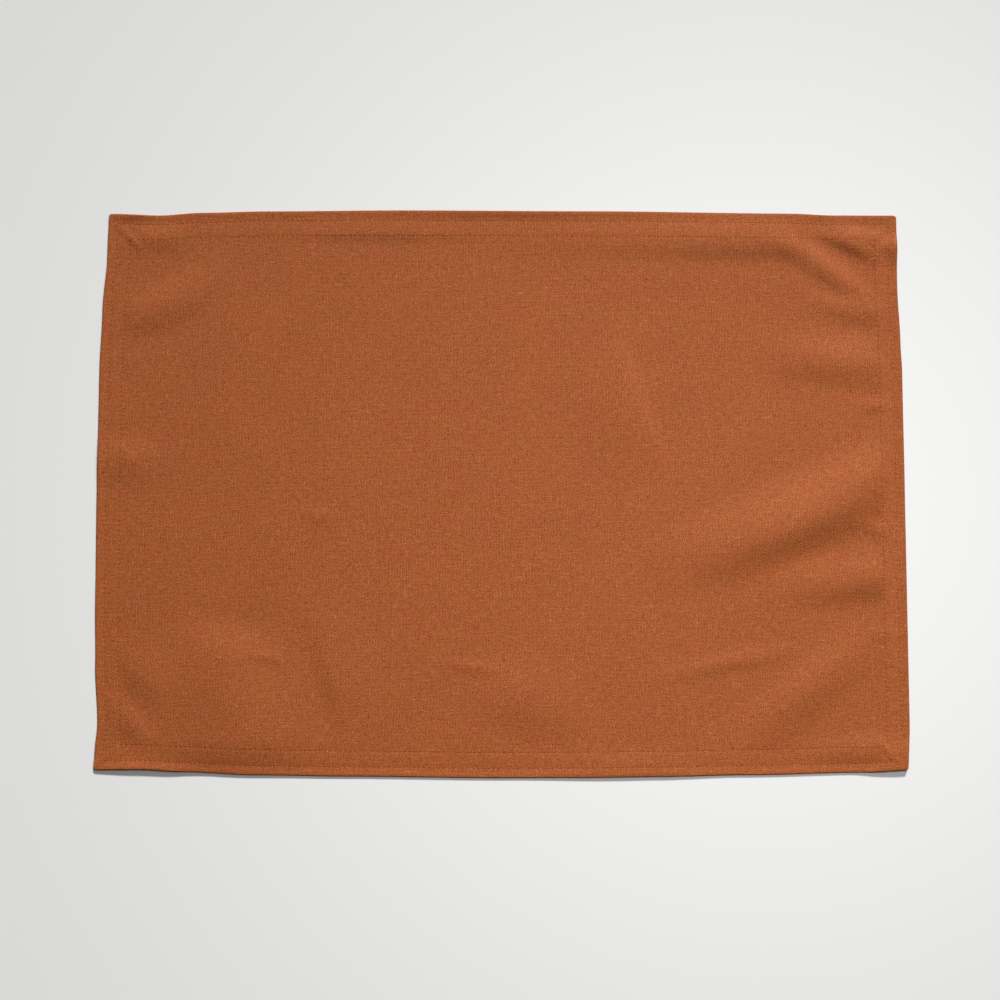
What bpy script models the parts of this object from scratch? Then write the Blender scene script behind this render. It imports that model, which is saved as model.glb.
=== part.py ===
"""A hemmed cotton placemat, lying flat with the soft folds that it was left with.

The whole mat is one piece of cloth. Its underside is laid out first, as a grid with extra
lines along the hem. The grid is drawn in a little at the edges, as sewing does, and lifted
into the folds. Solidify then adds the cloth's thickness, which is greater round the edge,
where the hem lies several layers deep.

Run it with: blender --background --python part.py
"""

from collections import namedtuple

import bmesh
import bpy

MM = 0.001

# Driving dimensions, in metres: the sewn mat, with its long side along X
MAT_LENGTH = 0.500
MAT_DEPTH = 0.353
CLOTH_THICKNESS = 1.0 * MM
HEM_THICKNESS = 1.6 * MM
HEM_WIDTH = 16.5 * MM

# The hems of the two short sides are a little narrower: their share of HEM_WIDTH
SIDE_HEM_SHARE = 0.90

# The turned edge of the hem is rounded: thinner at its rim, and a little off the table
RIM_THICKNESS = 1.0 * MM
RIM_LIFT = 0.35 * MM

# The grid's lines: how far in from an edge those of the hem lie, and the cell inside them
HEM_LINES = (0.0, 1.2 * MM, 8.0 * MM, HEM_WIDTH, HEM_WIDTH + 2.0 * MM, HEM_WIDTH + 10.5 * MM)
FIELD_CELL = 8.0 * MM

# The stiff hem holds the folds down. The hold starts to give way at this distance in from
# the edge, and is gone over this width.
HOLD_STARTS = 11.0 * MM
HOLD_WIDTH = 10.0 * MM

# How far each edge is drawn in from a straight line, in millimetres, by the place along it
Draw = namedtuple("Draw", "along inward")
TOP_EDGE = (
    Draw(-250, 1.8),
    Draw(-219, 2.9),
    Draw(-190, 1.1),
    Draw(-150, 0.2),
    Draw(-70, -0.2),
    Draw(60, 0.3),
    Draw(185, 1.8),
    Draw(212, 2.9),
    Draw(250, 2.9),
)
BOTTOM_EDGE = (
    Draw(-250, 4.6),
    Draw(-221, 4.9),
    Draw(-197, 3.6),
    Draw(-148, 1.6),
    Draw(-95, 0.8),
    Draw(0, -0.2),
    Draw(48, 0.0),
    Draw(97, 0.6),
    Draw(150, 1.6),
    Draw(225, 3.2),
    Draw(250, 4.6),
)
LEFT_EDGE = (
    Draw(-176, 1.2),
    Draw(-165, 1.7),
    Draw(-147, 3.0),
    Draw(-110, 1.0),
    Draw(-70, 0.2),
    Draw(0, -0.2),
    Draw(76, -0.1),
    Draw(115, 1.1),
    Draw(150, 3.4),
    Draw(176, 3.9),
)
RIGHT_EDGE = (
    Draw(-176, 1.2),
    Draw(-148, -0.3),
    Draw(0, -0.2),
    Draw(75, -0.1),
    Draw(94, 0.6),
    Draw(130, 1.9),
    Draw(176, 1.7),
)

# The folds, in millimetres from the middle of the mat. Each is a soft ridge whose crest
# runs from one point to the other. bow bends the crest sideways at its middle. left and
# right are the ridge's widths on either side of the crest, as seen walking along it. peak
# is how far along the crest it stands highest, and in_hem is the share of the height that
# is left in the stiffer hem.
Fold = namedtuple("Fold", "name x1 y1 x2 y2 bow left right height peak in_hem")
FOLDS = (
    Fold("main ridge", 80, -57, 290, 34, -8, 37, 27, 5.4, 0.51, 0.12),
    Fold("small ridge below it", 150, -66, 275, -50, 0, 24, 20, 2.5, 0.60, 0.12),
    Fold("roll beside the top hem", -10, 156, 198, 157, 1, 30, 16, 2.2, 0.88, 1.00),
    Fold("bend of the roll", 160, 168, 256, 98, 5, 12, 13, 2.1, 0.40, 0.20),
    Fold("ridge under the bend", 180, 124, 262, 106, 0, 12, 13, 1.5, 0.50, 0.15),
    Fold("short ridge at the right", 148, 88, 268, 78, -2, 24, 21, 2.4, 0.55, 0.12),
    Fold("lower right ridge", 144, -163, 238, -80, 0, 22, 24, 2.6, 0.45, 0.15),
    Fold("low ridge over the lower right hem", 172, -167, 268, -161, 1, 15, 12, 1.4, 0.55, 0.80),
    Fold("line right of the middle", 60, 120, 100, 0, 0, 16, 48, 2.0, 0.65, 0.20),
    Fold("upper left ridge", -262, 108, -165, 152, -13, 24, 22, 2.1, 0.50, 0.30),
    Fold("left edge wrinkle", -276, 20, -200, 18, 0, 19, 24, 1.5, 0.50, 0.70),
    Fold("lower left swell", -240, -157, -84, -152, 0, 64, 30, 2.8, 0.42, 1.00),
    Fold("start of the swell", -212, -103, -126, -110, 0, 32, 62, 3.1, 0.48, 0.30),
    Fold("mound above the corner", -234, -92, -196, -140, -6, 40, 17, 1.4, 0.45, 0.30),
    Fold("raised edge at the lower left", -268, -180, -176, -182, 0, 22, 13, 1.7, 0.50, 1.00),
    Fold("step left of the middle", -118, -60, -90, -168, 0, 40, 14, 1.3, 0.55, 0.20),
    Fold("swell under the middle", -30, -114, 60, -146, 0, 40, 30, 1.6, 0.50, 0.30),
    Fold("raised lower right corner", 214, -178, 276, -166, 0, 17, 20, 1.8, 0.55, 1.00),
)

COLLECTION_NAME = "placemat"
CLOTH_COLOUR = (0.366, 0.103, 0.034, 1.0)
CLOTH_ROUGHNESS = 0.92


def clear_scene():
    """Remove the objects that a new Blender file starts with."""
    for old in list(bpy.data.objects):
        bpy.data.objects.remove(old, do_unlink=True)


def ease(share):
    """A smooth step from 0 to 1, level at both ends."""
    share = min(max(share, 0.0), 1.0)
    return share * share * (3.0 - 2.0 * share)


def inward_at(edge, along):
    """How far an edge is drawn in at a place along it, both in metres."""
    place = along / MM
    if place <= edge[0].along:
        return edge[0].inward * MM
    for before, after in zip(edge, edge[1:]):
        if place <= after.along:
            share = (place - before.along) / (after.along - before.along)
            return (before.inward + (after.inward - before.inward) * ease(share)) * MM
    return edge[-1].inward * MM


def drawn_in(x, y):
    """The place on the table of a point of the cloth, once sewing has pulled in its edges."""
    to_right = x / MAT_LENGTH + 0.5
    to_top = y / MAT_DEPTH + 0.5
    shift_x = inward_at(LEFT_EDGE, y) * (1.0 - to_right) - inward_at(RIGHT_EDGE, y) * to_right
    shift_y = inward_at(BOTTOM_EDGE, x) * (1.0 - to_top) - inward_at(TOP_EDGE, x) * to_top
    return x + shift_x, y + shift_y


def edge_distance(x, y):
    """How far in from the nearest edge a point of the cloth is, in the long sides' measure."""
    return min((MAT_LENGTH / 2 - abs(x)) / SIDE_HEM_SHARE, MAT_DEPTH / 2 - abs(y))


def fold_height(fold, x, y, inset):
    """How far one fold lifts a point, in metres."""
    run_x = (fold.x2 - fold.x1) * MM
    run_y = (fold.y2 - fold.y1) * MM
    run = (run_x * run_x + run_y * run_y) ** 0.5
    from_x = x - fold.x1 * MM
    from_y = y - fold.y1 * MM
    along = (from_x * run_x + from_y * run_y) / (run * run)
    if not 0.0 < along < 1.0:
        return 0.0
    crest = fold.bow * MM * 4.0 * along * (1.0 - along)
    off = (from_y * run_x - from_x * run_y) / run - crest
    across = off / ((fold.left if off > 0.0 else fold.right) * MM)
    if abs(across) >= 1.0:
        return 0.0
    rise = along / fold.peak if along < fold.peak else (1.0 - along) / (1.0 - fold.peak)
    in_field = ease((inset - HOLD_STARTS) / HOLD_WIDTH)
    hold = fold.in_hem + (1.0 - fold.in_hem) * in_field
    return fold.height * MM * ease(rise) * (1.0 - across * across) ** 3 * hold


def underside_height(x, y):
    """The height of the cloth's underside above the table."""
    inset = edge_distance(x, y)
    lift = sum(fold_height(fold, x, y, inset) for fold in FOLDS)
    rim = RIM_LIFT if inset < HEM_LINES[1] / 2 else 0.0
    return lift + rim


def thickness_at(x, y):
    """The thickness of the cloth: one layer in the field, several in the hem."""
    inset = edge_distance(x, y)
    if inset < HEM_LINES[1] / 2:
        return RIM_THICKNESS
    if inset < HEM_WIDTH + 1.0 * MM:
        return HEM_THICKNESS
    return CLOTH_THICKNESS


def grid_lines(length, hem_share):
    """Where the grid's lines cross one side of the mat: close in the hem, even in the field."""
    hem = [length / 2 - inset * hem_share for inset in HEM_LINES]
    field_half = hem.pop()
    cells = round(2 * field_half / FIELD_CELL)
    field = [field_half * (2 * number / cells - 1) for number in range(cells + 1)]
    return [-place for place in hem] + field + hem[::-1]


def lay_out_underside():
    """The underside of the cloth as a mesh, and the thickness that goes above each point."""
    columns = grid_lines(MAT_LENGTH, SIDE_HEM_SHARE)
    rows = grid_lines(MAT_DEPTH, 1.0)
    mesh = bpy.data.meshes.new("placemat")
    sheet = bmesh.new()
    bmesh.ops.create_grid(
        sheet, x_segments=len(columns) - 1, y_segments=len(rows) - 1, size=0.5
    )
    thickness = []
    for point in sheet.verts:
        x = columns[round((point.co.x + 0.5) * (len(columns) - 1))]
        y = rows[round((point.co.y + 0.5) * (len(rows) - 1))]
        table_x, table_y = drawn_in(x, y)
        point.co = (table_x, table_y, underside_height(x, y))
        thickness.append(thickness_at(x, y))
    centre_on_origin(sheet)
    sheet.to_mesh(mesh)
    sheet.free()
    return mesh, thickness


def centre_on_origin(sheet):
    """Put the middle of the mat's outline over the origin."""
    places_x = [point.co.x for point in sheet.verts]
    places_y = [point.co.y for point in sheet.verts]
    middle = ((min(places_x) + max(places_x)) / 2, (min(places_y) + max(places_y)) / 2, 0.0)
    bmesh.ops.translate(sheet, verts=sheet.verts, vec=[-value for value in middle])


def give_thickness(cloth, thickness):
    """Thicken the sheet upwards, by the amount wanted above each point."""
    group = cloth.vertex_groups.new(name="share of the hem's thickness")
    for index, amount in enumerate(thickness):
        group.add([index], amount / HEM_THICKNESS, "REPLACE")
    solidify = cloth.modifiers.new("cloth thickness", "SOLIDIFY")
    solidify.thickness = HEM_THICKNESS
    solidify.offset = 1.0
    solidify.vertex_group = group.name
    solidify.thickness_vertex_group = 0.0


def cloth_material():
    """Rust-coloured cotton: matt, and not metallic."""
    material = bpy.data.materials.new("rust cotton")
    material.use_nodes = True
    shader = material.node_tree.nodes["Principled BSDF"]
    shader.inputs["Base Color"].default_value = CLOTH_COLOUR
    shader.inputs["Roughness"].default_value = CLOTH_ROUGHNESS
    shader.inputs["Metallic"].default_value = 0.0
    return material


def make_placemat(collection):
    """The mat: one sheet of cloth, with its hem and its folds."""
    mesh, thickness = lay_out_underside()
    mesh.materials.append(cloth_material())
    mesh.shade_smooth()
    cloth = bpy.data.objects.new("placemat", mesh)
    collection.objects.link(cloth)
    give_thickness(cloth, thickness)
    return cloth


def main():
    clear_scene()
    collection = bpy.data.collections.new(COLLECTION_NAME)
    bpy.context.scene.collection.children.link(collection)
    make_placemat(collection)


main()
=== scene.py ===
# %% [markdown]
# # A hemmed placemat in rust cotton
#
# The real thing is about the simplest sewn article there is: one rectangle of cloth whose
# edges are turned under twice and sewn down with two rows of stitches. What makes it look
# real is everything that isn't simple about it. Sewing draws the edges in, the hem stands
# a little proud of the cloth inside it, and soft folds are left from the drawer it lay in.
#
# The plan is to write down the height of the cloth as a function of place, lay a fine grid
# on that function, and let a Solidify modifier turn the grid into cloth. Functions suit
# this better than sculpting here, because every fold stays a row in a table that can be
# read and changed.

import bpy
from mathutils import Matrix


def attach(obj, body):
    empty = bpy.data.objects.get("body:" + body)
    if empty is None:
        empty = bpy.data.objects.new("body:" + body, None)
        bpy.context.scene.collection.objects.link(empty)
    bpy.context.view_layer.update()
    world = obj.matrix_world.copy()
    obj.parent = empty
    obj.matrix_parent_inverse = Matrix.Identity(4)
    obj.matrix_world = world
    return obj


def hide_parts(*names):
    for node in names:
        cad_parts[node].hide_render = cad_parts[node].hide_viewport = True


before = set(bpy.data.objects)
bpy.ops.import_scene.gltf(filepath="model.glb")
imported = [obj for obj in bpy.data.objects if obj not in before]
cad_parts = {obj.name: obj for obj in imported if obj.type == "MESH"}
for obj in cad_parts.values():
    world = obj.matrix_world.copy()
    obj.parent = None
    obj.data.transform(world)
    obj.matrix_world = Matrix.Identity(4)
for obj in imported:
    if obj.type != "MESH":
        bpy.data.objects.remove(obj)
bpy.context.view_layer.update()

# %% [markdown]
# ## Sizes
#
# All sizes are real ones, in metres, with the mat's long side along X. Small ones are
# easier to think about in millimetres, so `MM` turns one into the other. The sewn mat
# takes up 500 by 353 mm, and its hems are a little narrower at the short sides.

# %% Sizes that everything else uses
import math
from collections import namedtuple

import bmesh
import bpy
import numpy as np
from mathutils import Vector, noise

MM = 0.001
MAT_LENGTH = 0.500
MAT_DEPTH = 0.353
SIDE_HEM_SHARE = 0.90


def ease(share):
    """A smooth step from 0 to 1, level at both ends."""
    share = np.clip(share, 0.0, 1.0)
    return share * share * (3.0 - 2.0 * share)


# %% [markdown]
# ## The outline
#
# No sewn edge is straight. The thread pulls a hem shorter than the cloth beside it, so
# each edge bows out at its middle and dips next to the corners. A straight rectangle
# would look like a printed card. Each edge has a short table instead: how far it is drawn
# in, by the place along it. Between two rows the value eases from one to the next.
#
# The corners are turned through thick layers of cloth, so they come out a little rounded.

# %% How far each edge is drawn in, in millimetres
Draw = namedtuple("Draw", "along inward")
TOP_EDGE = (
    Draw(-250, 1.5),
    Draw(-219, 2.6),
    Draw(-190, 0.8),
    Draw(-150, -0.1),
    Draw(-70, -0.5),
    Draw(60, 0.0),
    Draw(185, 1.5),
    Draw(212, 2.6),
    Draw(250, 2.6),
)
BOTTOM_EDGE = (
    Draw(-250, 4.6),
    Draw(-221, 4.9),
    Draw(-197, 3.6),
    Draw(-148, 1.6),
    Draw(-95, 0.8),
    Draw(0, -0.2),
    Draw(48, 0.0),
    Draw(97, 0.6),
    Draw(150, 1.6),
    Draw(225, 3.2),
    Draw(250, 4.6),
)
LEFT_EDGE = (
    Draw(-176, 1.2),
    Draw(-165, 1.7),
    Draw(-147, 3.0),
    Draw(-110, 1.0),
    Draw(-70, 0.2),
    Draw(0, -0.2),
    Draw(76, -0.1),
    Draw(115, 1.1),
    Draw(150, 3.4),
    Draw(176, 3.9),
)
RIGHT_EDGE = (
    Draw(-176, 0.9),
    Draw(-148, -0.6),
    Draw(0, -0.5),
    Draw(75, -0.4),
    Draw(94, 0.3),
    Draw(130, 1.6),
    Draw(176, 1.4),
)
CORNER_RADIUS = 2.2 * MM


def inward_at(edge, along):
    """How far an edge is drawn in at places along it, in metres."""
    stops = np.array([row.along for row in edge]) * MM
    depths = np.array([row.inward for row in edge]) * MM
    along = np.clip(along, stops[0], stops[-1])
    after = np.clip(np.searchsorted(stops, along), 1, len(stops) - 1)
    share = (along - stops[after - 1]) / (stops[after] - stops[after - 1])
    return depths[after - 1] + (depths[after] - depths[after - 1]) * ease(share)


def round_corners(x, y):
    """A place on the flat cloth after its four corners are rounded off."""
    past_x = np.clip((np.abs(x) - MAT_LENGTH / 2) / CORNER_RADIUS + 1, 0, 1)
    past_y = np.clip((np.abs(y) - MAT_DEPTH / 2) / CORNER_RADIUS + 1, 0, 1)
    shift_x = past_x * (1 - np.sqrt(1 - past_y**2 / 2)) * CORNER_RADIUS
    shift_y = past_y * (1 - np.sqrt(1 - past_x**2 / 2)) * CORNER_RADIUS
    return x - np.sign(x) * shift_x, y - np.sign(y) * shift_y


def drawn_in(x, y):
    """Where points of the flat cloth lie once sewing has pulled in the edges."""
    x, y = round_corners(x, y)
    to_right = x / MAT_LENGTH + 0.5
    to_top = y / MAT_DEPTH + 0.5
    shift_x = inward_at(LEFT_EDGE, y) * (1 - to_right) - inward_at(RIGHT_EDGE, y) * to_right
    shift_y = inward_at(BOTTOM_EDGE, x) * (1 - to_top) - inward_at(TOP_EDGE, x) * to_top
    return x + shift_x, y + shift_y


corner = drawn_in(np.array([-MAT_LENGTH / 2]), np.array([MAT_DEPTH / 2]))
print(f"the upper left corner lies at {corner[0][0] / MM:.1f}, {corner[1][0] / MM:.1f} mm")

# %% [markdown]
# ## The hem in section
#
# Cut through the edge of the mat and the hem shows three layers of cloth. The turned edge
# is rounded and stands proud. Both rows of stitches pull the layers together into shallow
# grooves, with a soft cushion between them, and past the inner row the cloth comes down
# to a single layer. One table holds that section: the height of the underside and of the
# top, by the distance in from the edge. The same table serves all four sides.
#
# At a corner the distance is taken from the nearer edge, so the section turns through a
# right angle along a diagonal, just as a mitred corner does.

# %% The section across the hem, in millimetres
Section = namedtuple("Section", "inset underside top")
HEM_SECTION = (
    Section(0.00, 0.16, 1.02),
    Section(0.04, 0.08, 1.07),
    Section(0.10, 0.03, 1.10),
    Section(0.25, 0.01, 1.11),
    Section(0.60, 0.00, 1.13),
    Section(1.10, 0.00, 1.18),
    Section(1.60, 0.00, 1.18),
    Section(2.20, 0.00, 1.14),
    Section(3.20, 0.00, 1.01),
    Section(4.20, 0.00, 0.90),
    Section(5.20, 0.00, 0.85),
    Section(5.80, 0.00, 0.83),
    Section(6.20, 0.03, 0.79),
    Section(6.70, 0.00, 0.83),
    Section(8.00, 0.00, 0.85),
    Section(10.0, 0.00, 0.87),
    Section(12.0, 0.00, 0.88),
    Section(14.0, 0.00, 0.87),
    Section(15.3, 0.00, 0.85),
    Section(15.8, 0.03, 0.81),
    Section(16.3, 0.02, 0.82),
    Section(17.0, 0.10, 0.81),
    Section(18.2, 0.17, 0.78),
)
# Past the hem the single layer sinks slowly to the table
FIELD_SECTION = (
    Section(24.0, 0.14, 0.73),
    Section(32.0, 0.09, 0.65),
    Section(46.0, 0.05, 0.60),
)
OUTER_ROW = 6.20 * MM
INNER_ROW = 15.80 * MM
HOLD_STARTS = 11.0 * MM
HOLD_WIDTH = 10.0 * MM


def insets_from(x, y):
    """How far in points lie from the left or right edge, and from the upper or lower one."""
    from_side = (MAT_LENGTH / 2 - np.abs(x)) / SIDE_HEM_SHARE
    from_end = MAT_DEPTH / 2 - np.abs(y)
    return from_side, from_end


def inset_of(x, y):
    """How far in from the nearest edge points lie, as a place across the hem's section."""
    return np.minimum(*insets_from(x, y))


def section_at(inset, face):
    """The height of one face of the cloth, underside or top, at places across the hem."""
    rows = HEM_SECTION + FIELD_SECTION
    places = [row.inset * MM for row in rows]
    heights = [getattr(row, face) * MM for row in rows]
    return np.interp(inset, places, heights)


print("field cloth is", round(FIELD_SECTION[-1].top - FIELD_SECTION[-1].underside, 2), "mm thick")

# %% [markdown]
# ## The main folds
#
# Cloth that has been folded and stored keeps soft ridges. Here most of them run in from
# the right-hand hem, where the cloth was bunched, and fade towards the middle. Simulating
# that would give folds, but not these folds. So each one is given as a row: a crest line
# between two points, how far it bows, how wide and how high it is, and where along it
# the crest is highest. Across the crest the height falls away like a bell, and often
# more steeply on one side, so each fold has two widths: `left` and `right` of its crest,
# as someone would see them who walks along it.
#
# The hem is stiffer than the cloth inside it, so it holds a fold down. `in_hem` says how
# much of the height is left there.

# %% The main folds, in millimetres from the middle of the mat
Fold = namedtuple("Fold", "name x1 y1 x2 y2 bow left right height peak in_hem")
MAIN_FOLDS = (
    Fold("main ridge", 80, -57, 290, 34, -8, 37, 27, 5.4, 0.51, 0.12),
    Fold("small ridge below it", 150, -66, 275, -50, 0, 24, 20, 2.5, 0.60, 0.12),
    Fold("roll beside the top hem", -10, 156, 198, 157, 1, 30, 16, 2.2, 0.88, 1.00),
    Fold("bend of the roll", 160, 168, 256, 98, 5, 12, 13, 2.1, 0.40, 0.20),
    Fold("ridge under the bend", 180, 124, 262, 106, 0, 12, 13, 1.5, 0.50, 0.15),
    Fold("short ridge at the right", 148, 88, 268, 78, -2, 24, 21, 2.4, 0.55, 0.12),
    Fold("lower right ridge", 144, -163, 238, -80, 0, 22, 24, 2.6, 0.45, 0.15),
    Fold("low ridge over the lower right hem", 172, -167, 268, -161, 1, 15, 12, 1.4, 0.55, 0.80),
    Fold("line right of the middle", 60, 120, 100, 0, 0, 16, 48, 2.0, 0.65, 0.20),
    Fold("upper left ridge", -262, 108, -165, 152, -13, 24, 22, 2.1, 0.50, 0.30),
    Fold("left edge wrinkle", -276, 20, -200, 18, 0, 19, 24, 1.5, 0.50, 0.70),
    Fold("lower left swell", -240, -157, -84, -152, 0, 64, 30, 2.8, 0.42, 1.00),
    Fold("start of the swell", -212, -103, -126, -110, 0, 32, 62, 3.1, 0.48, 0.30),
    Fold("mound above the corner", -234, -92, -196, -140, -6, 40, 17, 1.4, 0.45, 0.30),
    Fold("raised edge at the lower left", -268, -180, -176, -182, 0, 22, 13, 1.7, 0.50, 1.00),
    Fold("step left of the middle", -118, -60, -90, -168, 0, 40, 14, 1.3, 0.55, 0.20),
    Fold("swell under the middle", -30, -114, 60, -146, 0, 40, 30, 1.6, 0.50, 0.30),
    Fold("raised lower right corner", 214, -178, 276, -166, 0, 17, 20, 1.8, 0.55, 1.00),
)


def fold_height(fold, x, y, inset):
    """How far one fold lifts points of the cloth, in metres."""
    run_x = (fold.x2 - fold.x1) * MM
    run_y = (fold.y2 - fold.y1) * MM
    run = math.hypot(run_x, run_y)
    from_x = x - fold.x1 * MM
    from_y = y - fold.y1 * MM
    along = (from_x * run_x + from_y * run_y) / (run * run)
    crest = fold.bow * MM * 4.0 * along * (1.0 - along)
    off = (from_y * run_x - from_x * run_y) / run - crest
    across = off / (np.where(off > 0.0, fold.left, fold.right) * MM)
    bell = np.clip(1.0 - across * across, 0.0, 1.0) ** 3
    rise = np.where(along < fold.peak, along / fold.peak, (1 - along) / (1 - fold.peak))
    hold = fold.in_hem + (1 - fold.in_hem) * ease((inset - HOLD_STARTS) / HOLD_WIDTH)
    return fold.height * MM * bell * ease(rise) * hold


print(len(MAIN_FOLDS), "main folds, the highest", max(fold.height for fold in MAIN_FOLDS), "mm")

# %% [markdown]
# ## Small creases
#
# Finer marks lie over the main folds: pressed lines a few millimetres wide, and short
# wrinkles next to the hem. They use the same kind of row, and some are troughs, with a
# height below zero.

# %% The small creases, in the same units
CREASES = (
    Fold("branch of the main ridge", 212, -17, 260, -35, 0, 8, 9, 1.2, 0.50, 0.20),
    Fold("shoulder of the main ridge", 188, -10, 264, 28, 0, 22, 18, 1.4, 0.58, 0.20),
    Fold("sharp ridge at the upper right", 196, 167, 244, 144, 2, 24, 8, 2.9, 0.52, 1.00),
    Fold("bump on the right hem", 230, 157, 264, 155, 0, 12, 9, 1.0, 0.50, 1.00),
    Fold("curled edge of the top hem", -110, 178, 135, 178, 0, 8, 11, 0.9, 0.45, 1.00),
    Fold("raised edge of the bottom hem", 4, -172, 156, -173, 0, 18, 9, 0.8, 0.45, 1.00),
    Fold("bump at the upper right edge", 236, 155, 268, 152, 0, 15, 14, 1.7, 0.50, 1.00),
    Fold("dip at the upper right corner", 210, 171, 252, 166, 0, 7, 6, -0.6, 0.50, 1.00),
    Fold("nick beside the right hem", 216, 53, 260, 53, 0, 8, 6, 1.0, 0.50, 0.30),
    Fold("nick further down", 220, -91, 262, -93, 0, 9, 6, 0.8, 0.50, 0.30),
    Fold("long pressed crease", 74, -122, 190, -99, 1.5, 10, 9, 0.9, 0.60, 0.10),
    Fold("stiff edge of the top hem", -165, 162, 5, 162, 0, 40, 8, 0.9, 0.55, 1.00),
    Fold("fall inside the upper left hem", -244, 161, -192, 161, 0, 16, 12, 1.0, 0.50, 1.00),
    Fold("curled edge at the upper left", -252, 181, -212, 181, 0, 8, 13, 1.4, 0.50, 1.00),
    Fold("ridge across the lower left corner", -247, -125, -205, -168, -2, 10, 16, 1.0, 0.50, 0.90),
    Fold("short line at the lower left", -162, -101, -126, -109, 1, 5, 6, 0.6, 0.50, 0.20),
    Fold("wrinkle left of the middle", -130, -15, -96, -18, 1, 5, 12, 0.6, 0.50, 0.20),
    Fold("wrinkle below the middle", -44, -106, 8, -112, 0, 6, 7, 0.6, 0.50, 0.20),
)
MITRE_CREASES = (
    Fold("mitre, upper left", -248, 174, -222, 148, 0, 2, 4, 0.75, 0.60, 1.00),
    Fold("mitre, upper right", 248, 174, 230, 156, 0, 3, 2, 0.45, 0.50, 1.00),
    Fold("mitre, lower left", -248, -174, -232, -158, 0, 2, 3, 0.40, 0.50, 1.00),
    Fold("mitre, lower right", 248, -174, 226, -152, 0, 4, 2, 0.70, 0.60, 1.00),
)
print(len(CREASES) + len(MITRE_CREASES), "small creases")

# %% [markdown]
# ## Unevenness
#
# Even the flat parts of a cloth are never quite flat. Two kinds of small waves are added.
# Broad, very low ones cover the whole mat. Short ones run across the hem, where each
# stitch gathers a little cloth. Perlin noise gives both, and it needs no seed: the same
# place always gives the same value.

# %% Waves in the cloth
Wave = namedtuple("Wave", "length height")
BROAD_WAVES = (Wave(70 * MM, 0.30 * MM), Wave(26 * MM, 0.07 * MM), Wave(11 * MM, 0.022 * MM))
BROAD_WAVES_START = 30.0 * MM
COCKLE_LENGTH = 9.0 * MM
COCKLE_REACH = 26.0 * MM
COCKLE_HEIGHT = 0.11 * MM
COCKLES_START = 2.0 * MM
COCKLES_FADE = 10.0 * MM
# Each kind of wave reads the noise at a level of its own, so that no two are alike
LEVEL_STEP = 3.7
COCKLE_LEVEL_AT_END = 20.5
COCKLE_LEVEL_AT_SIDE = 31.5


def noise_over(x, y, length_x, length_y, level):
    """Perlin noise between about -1 and 1 over places, with waves of the given lengths."""
    places = zip(x / length_x, y / length_y)
    return np.array([noise.noise(Vector((px, py, level))) for px, py in places])


def broad_waves(x, y):
    """The low waves over the whole cloth, in metres."""
    total = np.zeros_like(x)
    for number, wave in enumerate(BROAD_WAVES):
        total += wave.height * noise_over(x, y, wave.length, wave.length, LEVEL_STEP * number)
    return total


def cockles(x, y, inset):
    """The short waves across the hem, in metres."""
    at_end = noise_over(x, y, COCKLE_LENGTH, COCKLE_REACH, COCKLE_LEVEL_AT_END)
    at_side = noise_over(x, y, COCKLE_REACH, COCKLE_LENGTH, COCKLE_LEVEL_AT_SIDE)
    from_side, from_end = insets_from(x, y)
    wave = np.where(from_side < from_end, at_side, at_end)
    near_hem = ease(inset / COCKLES_START) * (1 - ease((inset - INNER_ROW) / COCKLES_FADE))
    return COCKLE_HEIGHT * wave * near_hem


print("broad waves up to", BROAD_WAVES[0].height / MM, "mm, cockles", COCKLE_HEIGHT / MM, "mm")

# %% [markdown]
# ## Putting the heights together
#
# The underside is the section plus the folds, creases and waves, and it never goes below
# the table. The top is the same lift on top of the section's top. Having both as plain
# functions pays off later: the stitches ask them where the cloth is.

# %% Heights of the two faces
def lift_at(x, y):
    """How far the cloth is lifted off the table by everything that bends it."""
    inset = inset_of(x, y)
    lift = broad_waves(x, y) * ease(inset / BROAD_WAVES_START) + cockles(x, y, inset)
    for fold in MAIN_FOLDS + CREASES + MITRE_CREASES:
        lift = lift + fold_height(fold, x, y, inset)
    return lift


def cloth_heights(x, y):
    """The heights of the underside and the top over the table."""
    inset = inset_of(x, y)
    lift = lift_at(x, y)
    underside = np.maximum(section_at(inset, "underside") + lift, 0.0)
    thickness = section_at(inset, "top") - section_at(inset, "underside")
    return underside, underside + thickness


top_at_middle = cloth_heights(np.array([0.0]), np.array([0.0]))[1][0]
print(f"at its middle the mat is {top_at_middle / MM:.2f} mm high")

# %% [markdown]
# ## The cloth's mesh
#
# A grid is the natural mesh for cloth, because its lines run with the threads. Its lines
# are close together over the hem, one for each row of the section's table, and about
# 2 mm apart inside it. Blender's grid has even spacing, so each point is moved from its
# even place to the wanted line, and then to its place on the table.

# %% The grid's lines
FIELD_CELL = 2.15 * MM


def grid_lines(length, hem_share):
    """Where the grid's lines cross one side of the mat: close in the hem, even inside it."""
    hem = [length / 2 - row.inset * MM * hem_share for row in HEM_SECTION]
    field_half = hem.pop()
    cells = round(2 * field_half / FIELD_CELL)
    field = [field_half * (2 * number / cells - 1) for number in range(cells + 1)]
    return np.array([-place for place in hem] + field + hem[::-1])


COLUMNS = grid_lines(MAT_LENGTH, SIDE_HEM_SHARE)
ROWS = grid_lines(MAT_DEPTH, 1.0)
print(f"grid of {len(COLUMNS)} by {len(ROWS)} lines")

# %% The grid itself
def grid_mesh(name, cells_x, cells_y, width):
    """A flat, even grid round the middle, equally wide both ways."""
    grid = bmesh.new()
    bmesh.ops.create_grid(grid, x_segments=cells_x, y_segments=cells_y, size=width / 2)
    mesh = bpy.data.meshes.new(name)
    grid.to_mesh(mesh)
    grid.free()
    return mesh


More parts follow.
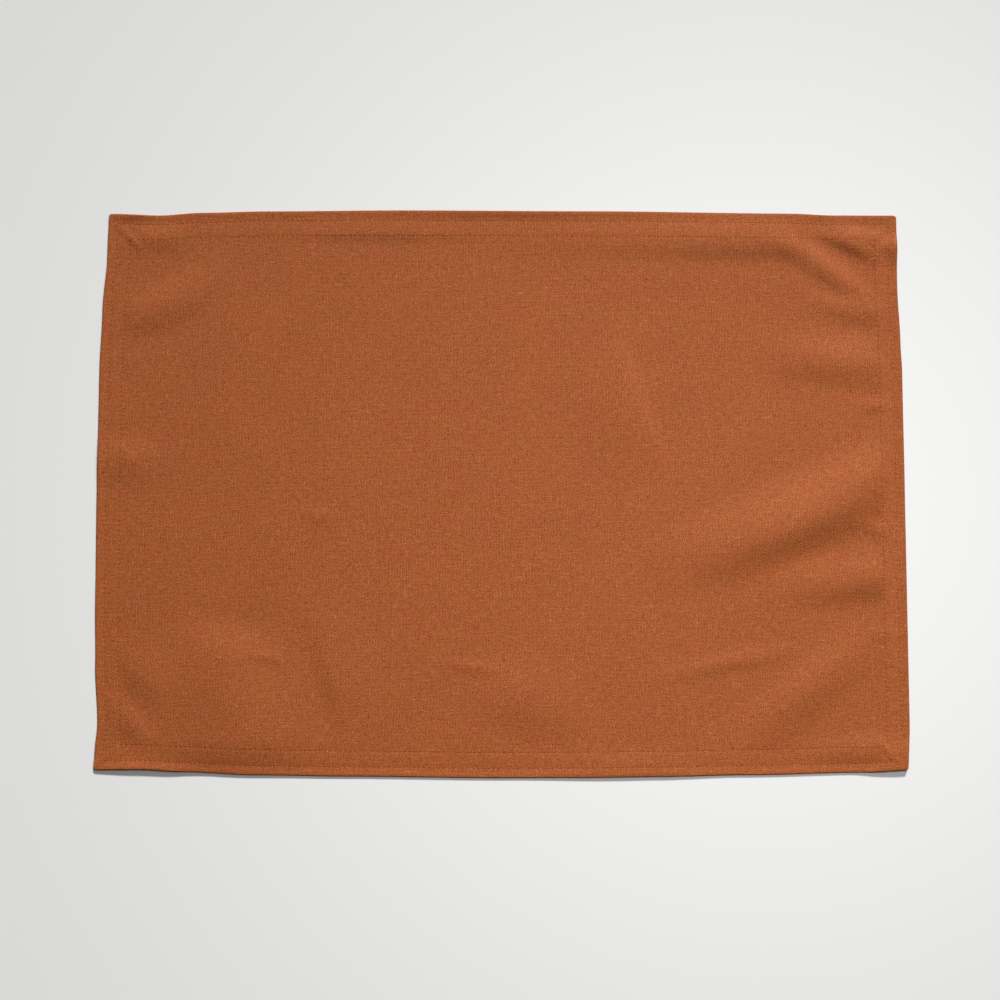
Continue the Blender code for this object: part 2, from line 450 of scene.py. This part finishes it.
def even_grid():
    """A mesh grid with the right number of lines, and the flat-cloth place of its points."""
    mesh = grid_mesh("cloth", len(COLUMNS) - 1, len(ROWS) - 1, 1.0)
    even = np.empty(len(mesh.vertices) * 3)
    mesh.vertices.foreach_get("co", even)
    column = np.rint((even[0::3] + 0.5) * (len(COLUMNS) - 1)).astype(int)
    row = np.rint((even[1::3] + 0.5) * (len(ROWS) - 1)).astype(int)
    return mesh, COLUMNS[column], ROWS[row]


cloth_mesh, flat_x, flat_y = even_grid()
print("points in the grid:", len(flat_x))

# %% Lay the grid out as the underside of the cloth
table_x, table_y = drawn_in(flat_x, flat_y)
MIDDLE_X = (table_x.min() + table_x.max()) / 2
MIDDLE_Y = (table_y.min() + table_y.max()) / 2
underside, top = cloth_heights(flat_x, flat_y)
places = np.column_stack((table_x - MIDDLE_X, table_y - MIDDLE_Y, underside))
cloth_mesh.vertices.foreach_set("co", places.ravel())
cloth_mesh.update()
print(f"highest point of the cloth: {top.max() / MM:.1f} mm")

# %% [markdown]
# ## Maps for the weave and the stitches
#
# The weave must follow the threads, and the small puckers beside the stitches must follow
# the hem. Both are easier in the flat cloth's own measures than in world space, so the
# mesh carries two UV maps in metres: `cloth_map` holds the place on the flat cloth, and
# `hem_map` the place along the nearest edge and the distance in from it. A face takes one
# edge or the other as a whole, which makes the change at a corner a clean mitre line.

# %% Write the two maps
def add_map(mesh, name, along, across):
    """Add a UV map from one pair of values for each corner of each face."""
    layer = mesh.uv_layers.new(name=name)
    layer.data.foreach_set("uv", np.column_stack((along, across)).ravel())


def face_corners(mesh):
    """For each corner of each face: its point, and the number of its face."""
    point = np.empty(len(mesh.loops), dtype=int)
    mesh.loops.foreach_get("vertex_index", point)
    size = np.empty(len(mesh.polygons), dtype=int)
    mesh.polygons.foreach_get("loop_total", size)
    return point, np.repeat(np.arange(len(size)), size)


corner_point, corner_face = face_corners(cloth_mesh)
corner_x = flat_x[corner_point]
corner_y = flat_y[corner_point]
corners_in_face = np.bincount(corner_face)
face_x = np.bincount(corner_face, corner_x) / corners_in_face
face_y = np.bincount(corner_face, corner_y) / corners_in_face
face_from_side, face_from_end = insets_from(face_x, face_y)
by_side = (face_from_side < face_from_end)[corner_face]
from_side, from_end = insets_from(corner_x, corner_y)
add_map(cloth_mesh, "cloth_map", corner_x, corner_y)
add_map(
    cloth_mesh,
    "hem_map",
    np.where(by_side, corner_y, corner_x),
    np.where(by_side, from_side, from_end),
)
print("maps:", [layer.name for layer in cloth_mesh.uv_layers])

# %% [markdown]
# ## Thickness
#
# Solidify turns the one-sided grid into cloth with two faces and a rim. A vertex group
# gives it the thickness at each point, so the hem comes out thicker than the field. The
# modifier is applied, because the finished mesh is what the part is.

# %% Thicken the cloth
def add_object(name, data):
    """Put a new object into the scene."""
    made = bpy.data.objects.new(name, data)
    bpy.context.scene.collection.objects.link(made)
    return made


def finished_mesh(piece):
    """A plain mesh of a piece as its modifiers or its bevel shape it."""
    scene_now = bpy.context.evaluated_depsgraph_get()
    return bpy.data.meshes.new_from_object(piece.evaluated_get(scene_now))


def give_thickness(cloth, thickness):
    """Thicken the cloth upwards by the amount wanted at each point, and keep the result."""
    group = cloth.vertex_groups.new(name="share of the greatest thickness")
    greatest = float(thickness.max())
    for index, amount in enumerate(thickness):
        group.add([index], float(amount) / greatest, "REPLACE")
    solidify = cloth.modifiers.new("thickness", "SOLIDIFY")
    solidify.thickness = greatest
    solidify.offset = 1.0
    solidify.vertex_group = group.name
    solidify.thickness_vertex_group = 0.0
    thick = finished_mesh(cloth)
    cloth.modifiers.clear()
    cloth.data = thick
    cloth.vertex_groups.clear()


cloth = add_object("cloth", cloth_mesh)
give_thickness(cloth, top - underside)
cloth.data.shade_smooth()
print("triangles in the cloth:", sum(len(face.vertices) - 2 for face in cloth.data.polygons))

# %% [markdown]
# ## Building materials from nodes
#
# Node trees written in Python get long, so a small class keeps them short. Each method
# adds one node and returns the socket that carries its result, and results are joined by
# passing them on, as in ordinary arithmetic.

# %% A small helper for node trees
class Tree:
    """The node tree of one material, with one short method for each kind of node."""

    def __init__(self, name):
        self.material = bpy.data.materials.new(name)
        self.material.use_nodes = True
        self.nodes = self.material.node_tree.nodes
        self.links = self.material.node_tree.links
        self.shader = self.nodes["Principled BSDF"]

    def put(self, socket, value):
        """Link a result to a socket, or set the socket if the value is plain."""
        if isinstance(value, bpy.types.NodeSocket):
            self.links.new(value, socket)
        elif socket.type == "VECTOR":
            socket.default_value = value[:3]
        else:
            socket.default_value = value

    def math(self, operation, first, second=0.0):
        """The result of one sum, named as Blender names it."""
        step = self.nodes.new("ShaderNodeMath")
        step.operation = operation
        self.put(step.inputs[0], first)
        self.put(step.inputs[1], second)
        return step.outputs[0]

    def add(self, first, second):
        """The sum of two values."""
        return self.math("ADD", first, second)

    def times(self, first, second):
        """The product of two values."""
        return self.math("MULTIPLY", first, second)

    def mapped(self, value, low, high, to_low, to_high):
        """A value moved smoothly from one range to another."""
        step = self.nodes.new("ShaderNodeMapRange")
        step.interpolation_type = "SMOOTHSTEP"
        for name, amount in (
            ("Value", value),
            ("From Min", low),
            ("From Max", high),
            ("To Min", to_low),
            ("To Max", to_high),
        ):
            self.put(step.inputs[name], amount)
        return step.outputs["Result"]

    def uv(self, name):
        """The two coordinates of a UV map."""
        source = self.nodes.new("ShaderNodeUVMap")
        source.uv_map = name
        parts = self.nodes.new("ShaderNodeSeparateXYZ")
        self.links.new(source.outputs["UV"], parts.inputs[0])
        return parts.outputs["X"], parts.outputs["Y"]

    def noise(self, x, y, z=0.0, detail=0.0):
        """Noise from 0 to 1 at a place, with features about one unit across."""
        place = self.nodes.new("ShaderNodeCombineXYZ")
        for socket, value in zip(place.inputs, (x, y, z)):
            self.put(socket, value)
        step = self.nodes.new("ShaderNodeTexNoise")
        self.links.new(place.outputs[0], step.inputs["Vector"])
        step.inputs["Scale"].default_value = 1.0
        step.inputs["Detail"].default_value = detail
        return step.outputs["Fac"]

    def mix(self, share, first, second):
        """A colour between two others."""
        step = self.nodes.new("ShaderNodeMix")
        step.data_type = "RGBA"
        self.put(step.inputs["Factor"], share)
        self.put(step.inputs["A"], first)
        self.put(step.inputs["B"], second)
        return step.outputs["Result"]

    def scaled(self, colour, amount):
        """A colour made lighter or darker."""
        step = self.nodes.new("ShaderNodeVectorMath")
        step.operation = "SCALE"
        self.put(step.inputs[0], colour)
        self.put(step.inputs["Scale"], amount)
        return step.outputs[0]

    def plus(self, first, second):
        """The sum of two colours."""
        step = self.nodes.new("ShaderNodeVectorMath")
        step.operation = "ADD"
        self.put(step.inputs[0], first)
        self.put(step.inputs[1], second)
        return step.outputs[0]

    def bump(self, height, depth):
        """The shading normal of a relief whose height of 1 is depth metres."""
        step = self.nodes.new("ShaderNodeBump")
        step.inputs["Strength"].default_value = 1.0
        step.inputs["Distance"].default_value = depth
        self.links.new(height, step.inputs["Height"])
        return step.outputs["Normal"]

    def finish(self, roughness, gloss):
        """Set how rough the surface is, and how much light it mirrors."""
        self.shader.inputs["Roughness"].default_value = roughness
        self.shader.inputs["Specular IOR Level"].default_value = gloss


print("a tree can:", ", ".join(name for name in vars(Tree) if not name.startswith("_")))

# %% [markdown]
# ## The weave
#
# The cloth is a plain weave of 11 or 12 threads to the centimetre. In a plain weave the
# two sets of threads take turns on top, like the squares of a chessboard. The sine of the
# thread count rises over each thread, and the sign of the two sines together says which
# set is on top, so a few sums give the whole weave. That is far quicker than a mesh of
# two hundred thousand crossings, and from any normal distance it looks the same.
#
# Cotton yarn is spun unevenly. Each thread gets a streak of noise that is long along it
# and no wider than itself, and specks about two thirds of a thread wide. The specks give
# the cloth its grain from further off. A slow, weak noise makes the threads stray from
# their straight lines.

# %% The weave's relief and the yarns' streaks
WARP_PER_METRE = 1080.0
WEFT_PER_METRE = 1210.0
LOWEST_CROWN = 0.55
STRAY = 0.35
STRAY_PER_METRE = 130.0
STREAK_PER_METRE = 160.0
SPECKS_PER_THREAD = 1.5
# Blender's noise texture runs from 0 to 1 about this value
NOISE_MIDDLE = 0.5
# Each kind of noise is read at a level of its own, so that no two are alike
WARP_STREAK_LEVEL = 0.0
WEFT_STREAK_LEVEL = 40.0
SPECK_LEVEL = 70.0


def weave(tree):
    """The weave's relief, the streak of the thread on top and its speck, each 0 to 1."""
    across, up = tree.uv("cloth_map")
    stray = tree.noise(tree.times(across, STRAY_PER_METRE), tree.times(up, STRAY_PER_METRE))
    stray = tree.times(tree.add(stray, -NOISE_MIDDLE), STRAY)
    warp = tree.add(tree.times(across, WARP_PER_METRE), stray)
    weft = tree.add(tree.times(up, WEFT_PER_METRE), stray)
    warp_sine = tree.math("SINE", tree.times(warp, math.pi))
    weft_sine = tree.math("SINE", tree.times(weft, math.pi))
    warp_on_top = tree.math("GREATER_THAN", tree.times(warp_sine, weft_sine), 0.0)
    warp_round = tree.math("ABSOLUTE", warp_sine)
    weft_round = tree.math("ABSOLUTE", weft_sine)
    warp_relief = crown(tree, warp_round, weft_round)
    weft_relief = crown(tree, weft_round, warp_round)
    warp_streak = tree.noise(warp, tree.times(up, STREAK_PER_METRE), WARP_STREAK_LEVEL)
    weft_streak = tree.noise(tree.times(across, STREAK_PER_METRE), weft, WEFT_STREAK_LEVEL)
    relief = choose(tree, warp_on_top, warp_relief, weft_relief)
    streak = choose(tree, warp_on_top, warp_streak, weft_streak)
    speck = tree.noise(
        tree.times(warp, SPECKS_PER_THREAD), tree.times(weft, SPECKS_PER_THREAD), SPECK_LEVEL
    )
    return relief, streak, speck


def crown(tree, own_round, other_round):
    """The relief of one set of threads: round in section, and lower where it dips under."""
    dip = tree.add(tree.times(other_round, 1.0 - LOWEST_CROWN), LOWEST_CROWN)
    return tree.times(tree.math("SQRT", own_round), dip)


def choose(tree, first_wins, first, second):
    """The first value where first_wins is 1, and the second where it is 0."""
    return tree.add(second, tree.times(first_wins, tree.math("SUBTRACT", first, second)))


print(f"threads to the centimetre: {WARP_PER_METRE / 100:.1f} by {WEFT_PER_METRE / 100:.1f}")

# %% [markdown]
# ## Slubs, flecks and patches
#
# Looked at closely, the cloth has thick places in its threads, called slubs, dark red
# flecks of seed husk and a few loose pale fibres. Each is noise that is cut off high, so
# that only its peaks show, and for the slubs it is stretched along the thread. From
# further off the cloth has soft patches, a centimetre or more across, where the dye took
# a little redder, browner or darker, and a faint mottling between those and the specks.
# The colour is made a touch paler over the hem than over the rest.

# %% The cloth's larger marks
# Marks to the metre along and up the cloth, the noise's level, and where they start to
# show and show in full
Mark = namedtuple("Mark", "across up level starts full")
SLUB_IN_WEFT = Mark(130.0, 900.0, 7.0, 0.70, 0.80)
SLUB_IN_WARP = Mark(950.0, 120.0, 17.0, 0.71, 0.81)
FLECK = Mark(420.0, 560.0, 27.0, 0.72, 0.80)
PALE_FIBRE = Mark(610.0, 480.0, 57.0, 0.77, 0.83)

Patch = namedtuple("Patch", "per_metre level")
HUE_PATCH = Patch(85.0, 3.0)
SHADE_PATCH = Patch(30.0, 9.0)
MOTTLE = Patch(380.0, 13.0)
PATCH_DETAIL = 1.0

HEM_FADE = 2.0 * MM


def marks(tree, mark):
    """How strongly one kind of mark shows, from 0 to 1."""
    across, up = tree.uv("cloth_map")
    peaks = tree.noise(tree.times(across, mark.across), tree.times(up, mark.up), mark.level)
    return tree.mapped(peaks, mark.starts, mark.full, 0.0, 1.0)


def slubs(tree):
    """How strongly a thick place in a thread shows, from 0 to 1."""
    return tree.math("MAXIMUM", marks(tree, SLUB_IN_WEFT), marks(tree, SLUB_IN_WARP))


def patches(tree, patch):
    """Soft patches of one size, from 0 to 1."""
    across, up = tree.uv("cloth_map")
    across = tree.times(across, patch.per_metre)
    up = tree.times(up, patch.per_metre)
    return tree.noise(across, up, patch.level, PATCH_DETAIL)


def in_hem(tree):
    """1 on the hem, where the cloth lies several layers deep, and 0 inside it."""
    inset = tree.uv("hem_map")[1]
    return tree.mapped(inset, INNER_ROW, INNER_ROW + HEM_FADE, 1.0, 0.0)


for name, patch in (("hue", HUE_PATCH), ("shade", SHADE_PATCH), ("mottling", MOTTLE)):
    print(f"{name}: patches about {1000 / patch.per_metre:.0f} mm across")


# %% [markdown]
# ## Puckers beside the stitches
#
# Where the needle went in, the cloth is pulled down, once for every stitch. That is finer
# than the mesh, so it goes into the material as relief. `hem_map` gives the place along
# the row and the distance from it, and the puckers are a cosine along the row that fades
# away across it.

# %% The puckers' relief
STITCH_PITCH = 3.05 * MM
PUCKER_REACH = 1.5 * MM


def puckers(tree):
    """The relief of the two rows of needle holes: 0 on the cloth and down to -1 in a hole."""
    along, inset = tree.uv("hem_map")
    turn = tree.times(along, 2.0 * math.pi / STITCH_PITCH)
    dip = tree.add(tree.times(tree.math("COSINE", turn), 0.5), 0.5)
    total = None
    for row in (OUTER_ROW, INNER_ROW):
        off = tree.times(tree.add(inset, -row), 1.0 / PUCKER_REACH)
        near = tree.math("EXPONENT", tree.times(tree.times(off, off), -1.0))
        total = near if total is None else tree.add(total, near)
    return tree.times(tree.times(total, dip), -1.0)


print(f"needle holes every {STITCH_PITCH / MM:.2f} mm")

# %% [markdown]
# ## The cloth's finish
#
# All of this meets in one material. First comes the dye with its patches and flecks, made
# a little lighter or darker from place to place. The grain is then added in the colour of
# bare fibre, rather than multiplied, because the bright specks of real cloth are paler
# and its dark ones are deeper in colour. The weave's relief goes into that grain too, as
# painted shade: the dips between threads are darker and the crowns lighter.
#
# Cotton is matt, but its fibres do mirror some light, so the sunny side of a fold looks a
# little pale. A low gloss gives that. More of it, or a smoother surface, would make the
# mat look like leather from the side.

# %% The cloth's finish
RUST = (0.357, 0.0890, 0.0170, 1.0)
RUST_REDDER = (0.377, 0.0770, 0.0180, 1.0)
RUST_BROWNER = (0.321, 0.0970, 0.0130, 1.0)
HUSK = (0.15, 0.038, 0.006, 1.0)
FIBRE = (0.285, 0.134, 0.082, 1.0)
HUE_STRENGTH = 0.5
FLECK_STRENGTH = 0.42
SHADE_STRENGTH = 0.10
HEM_PALER = 0.025

# For each kind of grain: the value that leaves the colour as it is, and how much fibre is
# added for a value that is 1 higher
Grain = namedtuple("Grain", "middle strength")
STREAK_GRAIN = Grain(NOISE_MIDDLE, 0.42)
SPECK_GRAIN = Grain(NOISE_MIDDLE, 1.60)
MOTTLE_GRAIN = Grain(NOISE_MIDDLE, 0.36)
# The weave's relief as painted shade: darker in the dips between threads, lighter on crowns
RELIEF_PAINTED_SHADE = Grain(0.72, 0.45)
SLUB_GRAIN = Grain(0.00, 0.20)
FIBRE_GRAIN = Grain(0.00, 0.35)

WEAVE_DEPTH = 0.10 * MM
PUCKER_DEPTH = 0.07 * MM
FUZZ = 0.10
FUZZ_ROUGHNESS = 0.55
FUZZ_COLOUR = (1.0, 0.6, 0.4, 1.0)


def cloth_tone(tree):
    """The dye's colour with its patches and flecks."""
    hue = tree.mix(patches(tree, HUE_PATCH), RUST_REDDER, RUST_BROWNER)
    tone = tree.mix(HUE_STRENGTH, RUST, hue)
    return tree.mix(tree.times(marks(tree, FLECK), FLECK_STRENGTH), tone, HUSK)


def cloth_light(tree):
    """How light the dye is, about 1."""
    shade = tree.add(patches(tree, SHADE_PATCH), -NOISE_MIDDLE)
    light = tree.add(tree.times(shade, SHADE_STRENGTH), 1.0)
    return tree.add(light, tree.times(in_hem(tree), HEM_PALER))


def cloth_grain(tree, relief, streak, speck):
    """How much bare fibre to add to the dye, or to take from it, with painted weave shade."""
    total = 0.0
    for value, grain in (
        (streak, STREAK_GRAIN),
        (speck, SPECK_GRAIN),
        (patches(tree, MOTTLE), MOTTLE_GRAIN),
        # Painted shade of the weave: colour darker where threads dip, lighter on their crowns
        (relief, RELIEF_PAINTED_SHADE),
        (slubs(tree), SLUB_GRAIN),
        (marks(tree, PALE_FIBRE), FIBRE_GRAIN),
    ):
        share = tree.times(tree.add(value, -grain.middle), grain.strength)
        total = tree.add(total, share)
    return total


def cloth_material():
    """Rust cotton: matt, a little fuzzy, and uneven in colour at every scale."""
    tree = Tree("rust cotton")
    relief, streak, speck = weave(tree)
    dyed = tree.scaled(cloth_tone(tree), cloth_light(tree))
    grain = tree.scaled(FIBRE, cloth_grain(tree, relief, streak, speck))
    tree.put(tree.shader.inputs["Base Color"], tree.plus(dyed, grain))
    height = tree.add(tree.times(relief, WEAVE_DEPTH), tree.times(puckers(tree), PUCKER_DEPTH))
    tree.put(tree.shader.inputs["Normal"], tree.bump(height, 1.0))
    tree.finish(roughness=0.68, gloss=0.25)
    tree.shader.inputs["Sheen Weight"].default_value = FUZZ
    tree.shader.inputs["Sheen Roughness"].default_value = FUZZ_ROUGHNESS
    tree.shader.inputs["Sheen Tint"].default_value = FUZZ_COLOUR
    return tree.material


cloth.data.materials.clear()
cloth.data.materials.append(cloth_material())
print("cloth finish has", len(cloth.data.materials[0].node_tree.nodes), "nodes")

# %% [markdown]
# ## The stitches
#
# A sewing machine leaves a row of short dashes: the thread comes up through one hole,
# lies on the cloth and goes down through the next. Drawn on the surface they would look
# printed, so each is a real piece of thread. A curve with a round bevel is the easy way
# to make one: five points that rise out of the cloth and dive back in, thinner at the
# ends. All the stitches of a row share one curve object, which is then turned into a
# mesh. The same stitches show on the underside, where the bobbin thread lies.

# %% Where the stitches of a row begin and end
THREAD_RADIUS = 0.19 * MM
SHORTEST_STITCH = 1.3 * MM


def holes_along(half):
    """The places of the needle holes along one side of a row that ends at two corners."""
    steps = int(half / STITCH_PITCH)
    holes = [step * STITCH_PITCH for step in range(-steps, steps + 1)]
    if half - holes[-1] < SHORTEST_STITCH:
        holes = holes[1:-1]
    return [-half] + holes + [half]


def stitches_of(inset):
    """Start and end of every stitch in one row round the mat, on the flat cloth."""
    half_x = MAT_LENGTH / 2 - inset * SIDE_HEM_SHARE
    half_y = MAT_DEPTH / 2 - inset
    along_x = holes_along(half_x)
    along_y = holes_along(half_y)
    found = []
    for side in (-1, 1):
        for start, end in zip(along_x, along_x[1:]):
            found.append((start, side * half_y, end, side * half_y))
        for start, end in zip(along_y, along_y[1:]):
            found.append((side * half_x, start, side * half_x, end))
    return np.array(found)


print("stitches in the outer row:", len(stitches_of(OUTER_ROW)))

# %% The thread of each stitch
# Places along a stitch, how far the thread stands off the cloth there, and its girth
Step = namedtuple("Step", "share off girth")
STITCH_STEPS = (
    Step(0.04, -0.28 * MM, 0.75),
    Step(0.20, -0.02 * MM, 0.95),
    Step(0.50, 0.05 * MM, 1.05),
    Step(0.80, -0.02 * MM, 0.95),
    Step(0.96, -0.28 * MM, 0.75),
)
UNDER_THREAD_HEIGHT = 0.215 * MM


def thread_points(row, step, on_top):
    """The points of all the stitches of a row at one step along them."""
    x = row[:, 0] + (row[:, 2] - row[:, 0]) * step.share
    y = row[:, 1] + (row[:, 3] - row[:, 1]) * step.share
    laid_x, laid_y = drawn_in(x, y)
    under, over = cloth_heights(x, y)
    if on_top:
        height = over + step.off
    else:
        height = under - section_at(inset_of(x, y), "underside") + UNDER_THREAD_HEIGHT
        height = height - np.minimum(step.off, 0.0)
    return np.column_stack((laid_x - MIDDLE_X, laid_y - MIDDLE_Y, height))


def add_threads(curve, row, on_top):
    """Add one short spline to the curve for every stitch of a row."""
    by_step = [thread_points(row, step, on_top) for step in STITCH_STEPS]
    for number in range(len(row)):
        spline = curve.splines.new("POLY")
        spline.points.add(len(STITCH_STEPS) - 1)
        for point, step, places in zip(spline.points, STITCH_STEPS, by_step):
            point.co = (*places[number], 1.0)
            point.radius = step.girth


def make_stitching(name, inset):
    """One row of stitches round the mat, on both faces, as a mesh."""
    curve = bpy.data.curves.new(name, "CURVE")
    curve.dimensions = "3D"
    curve.bevel_depth = THREAD_RADIUS
    curve.bevel_resolution = 1
    curve.use_fill_caps = True
    row = stitches_of(inset)
    add_threads(curve, row, True)
    add_threads(curve, row, False)
    drawn = add_object(name, curve)
    mesh = finished_mesh(drawn)
    bpy.data.objects.remove(drawn)
    mesh.shade_smooth()
    return add_object(name, mesh)


outer_stitching = make_stitching("outer_stitching", OUTER_ROW)
inner_stitching = make_stitching("inner_stitching", INNER_ROW)
print("faces of thread:", len(outer_stitching.data.polygons) + len(inner_stitching.data.polygons))

# %% [markdown]
# ## The sewing thread
#
# The thread is dyed to match the cloth, is spun tighter and sinks into it. Its dashes are
# painted a little darker than the cloth, as painted shade for the groove they lie in. Fine
# noise stands in for the twist of its plies, because plies of real mesh would be finer
# than anyone could see.

# %% The thread's finish
THREAD_COLOUR = (0.355, 0.092, 0.019, 1.0)
# The dark end of the plies' twist, which also holds painted shade from the groove
THREAD_PLY_AND_GROOVE_SHADE = (0.275, 0.068, 0.013, 1.0)
PLIES_PER_METRE = 2600.0
PLY_DEPTH = 0.05 * MM


def thread_material():
    """Rust sewing thread, painted a little darker than the cloth as shade from its groove."""
    tree = Tree("rust thread")
    place = tree.nodes.new("ShaderNodeTexCoord")
    parts = tree.nodes.new("ShaderNodeSeparateXYZ")
    tree.links.new(place.outputs["Object"], parts.inputs[0])
    x, y, z = (tree.times(part, PLIES_PER_METRE) for part in parts.outputs)
    plies = tree.noise(x, y, z, detail=1.0)
    # The plies' noise mixes the dye with the darker colour, which is painted groove shade
    tree.put(tree.shader.inputs["Base Color"], tree.mix(plies, THREAD_PLY_AND_GROOVE_SHADE, THREAD_COLOUR))
    tree.put(tree.shader.inputs["Normal"], tree.bump(plies, PLY_DEPTH))
    tree.finish(roughness=0.8, gloss=0.15)
    return tree.material


thread = thread_material()
for stitching in (outer_stitching, inner_stitching):
    stitching.data.materials.clear()
    stitching.data.materials.append(thread)
    print(stitching.name, "is sewn in", thread.name)

# %% [markdown]
# ## What belongs to what
#
# The finished cloth stands for the plain solid of the packed model, and it rides on the
# model's one body together with its stitches.

# %% Tie the pieces to the packed mat
for piece in (cloth, outer_stitching, inner_stitching):
    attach(piece, "root")
    print(piece.name, "rides on root")
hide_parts("placemat")

# %% [markdown]
# ## The surface it lies on
#
# A large, plain, pale surface. It only has to be wide enough to fill every view, and it
# lies a hair below the mat so that the two never share a plane.

# %% A plain pale floor
FLOOR_SIZE = 24.0
FLOOR_GAP = 0.05 * MM
FLOOR_COLOUR = (0.80, 0.80, 0.795, 1.0)


def make_floor():
    """A plain pale square, just under the mat."""
    floor = add_object("floor", grid_mesh("floor", 1, 1, FLOOR_SIZE))
    floor.location.z = -FLOOR_GAP
    tree = Tree("pale floor")
    tree.put(tree.shader.inputs["Base Color"], FLOOR_COLOUR)
    tree.finish(roughness=0.9, gloss=0.2)
    floor.data.materials.append(tree.material)
    return floor


make_floor()
print(f"the floor is {FLOOR_SIZE:.0f} m wide")

# %% [markdown]
# ## The camera
#
# The mat is seen from almost straight above. Its upper edge looks slightly shorter than
# its lower one, so the camera leans a few degrees off the vertical, towards the lower
# edge. The distance and the lens together put 620 mm across the picture.

# %% Place the camera
CAMERA_DISTANCE = 1.29
CAMERA_LEAN = math.radians(6.0)
VIEW_ACROSS = 0.6195
AIM = Vector((-0.00055, -0.00595, 0.0))
SENSOR_WIDTH = 36.0


def make_camera():
    """A camera above the mat, leaning towards its lower edge."""
    data = bpy.data.cameras.new("camera")
    data.sensor_width = SENSOR_WIDTH
    data.lens = SENSOR_WIDTH * CAMERA_DISTANCE / VIEW_ACROSS
    camera = add_object("camera", data)
    back = Vector((0.0, -math.sin(CAMERA_LEAN), math.cos(CAMERA_LEAN)))
    camera.location = AIM + back * CAMERA_DISTANCE
    camera.rotation_euler = (CAMERA_LEAN, 0.0, 0.0)
    return camera


bpy.context.scene.camera = make_camera()
print(f"the lens is {bpy.context.scene.camera.data.lens:.1f} mm long")

# %% [markdown]
# ## The light
#
# Folds a few millimetres high only show in light that comes in low. One sun lamp shines
# from beyond the upper edge, about 30 degrees above the horizon, and gives the folds
# their bright and dark sides. A soft lamp above the right-hand side makes that side a
# little brighter, and a pale warm sky fills the shadows.

# %% Key light, soft lamp and sky
SUN_ELEVATION = math.radians(31.0)
SUN_TURN = math.radians(14.0)
SUN_SPREAD = math.radians(7.0)
SUN_SHARE = 0.665
SKY_SHARE = 0.12
LAMP_POWER = 1.0
LAMP_SIZE = 0.2
LAMP_PLACE = Vector((0.16, 0.0, 0.50))
SUN_COLOUR = (0.99, 0.995, 1.0)
SKY_COLOUR = (1.0, 0.985, 0.91, 1.0)


def make_sun():
    """The key light, far away beyond the upper edge and a little to the right."""
    data = bpy.data.lights.new("key light", "SUN")
    data.angle = SUN_SPREAD
    data.energy = SUN_SHARE * math.pi / math.sin(SUN_ELEVATION)
    data.color = SUN_COLOUR
    lamp = add_object("key light", data)
    level = math.cos(SUN_ELEVATION)
    towards_sun = Vector(
        (level * math.sin(SUN_TURN), level * math.cos(SUN_TURN), math.sin(SUN_ELEVATION))
    )
    lamp.rotation_euler = (-towards_sun).to_track_quat("-Z", "Y").to_euler()


def make_soft_lamp():
    """A soft square lamp above the right-hand side, shining straight down."""
    data = bpy.data.lights.new("soft lamp", "AREA")
    data.shape = "SQUARE"
    data.size = LAMP_SIZE
    data.energy = LAMP_POWER
    lamp = add_object("soft lamp", data)
    lamp.location = LAMP_PLACE
    lamp.visible_camera = False


def make_sky():
    """An even, pale, slightly warm sky."""
    world = bpy.data.worlds.new("sky")
    world.use_nodes = True
    background = world.node_tree.nodes["Background"]
    background.inputs["Color"].default_value = SKY_COLOUR
    background.inputs["Strength"].default_value = SKY_SHARE
    bpy.context.scene.world = world


make_sun()
make_soft_lamp()
make_sky()
bpy.context.scene.view_settings.view_transform = "Standard"
print(f"share of the light from the sun lamp: {SUN_SHARE}, from the sky: {SKY_SHARE}")

# %% [markdown]
# The dressed mat has to fill the same box as the plain solid.
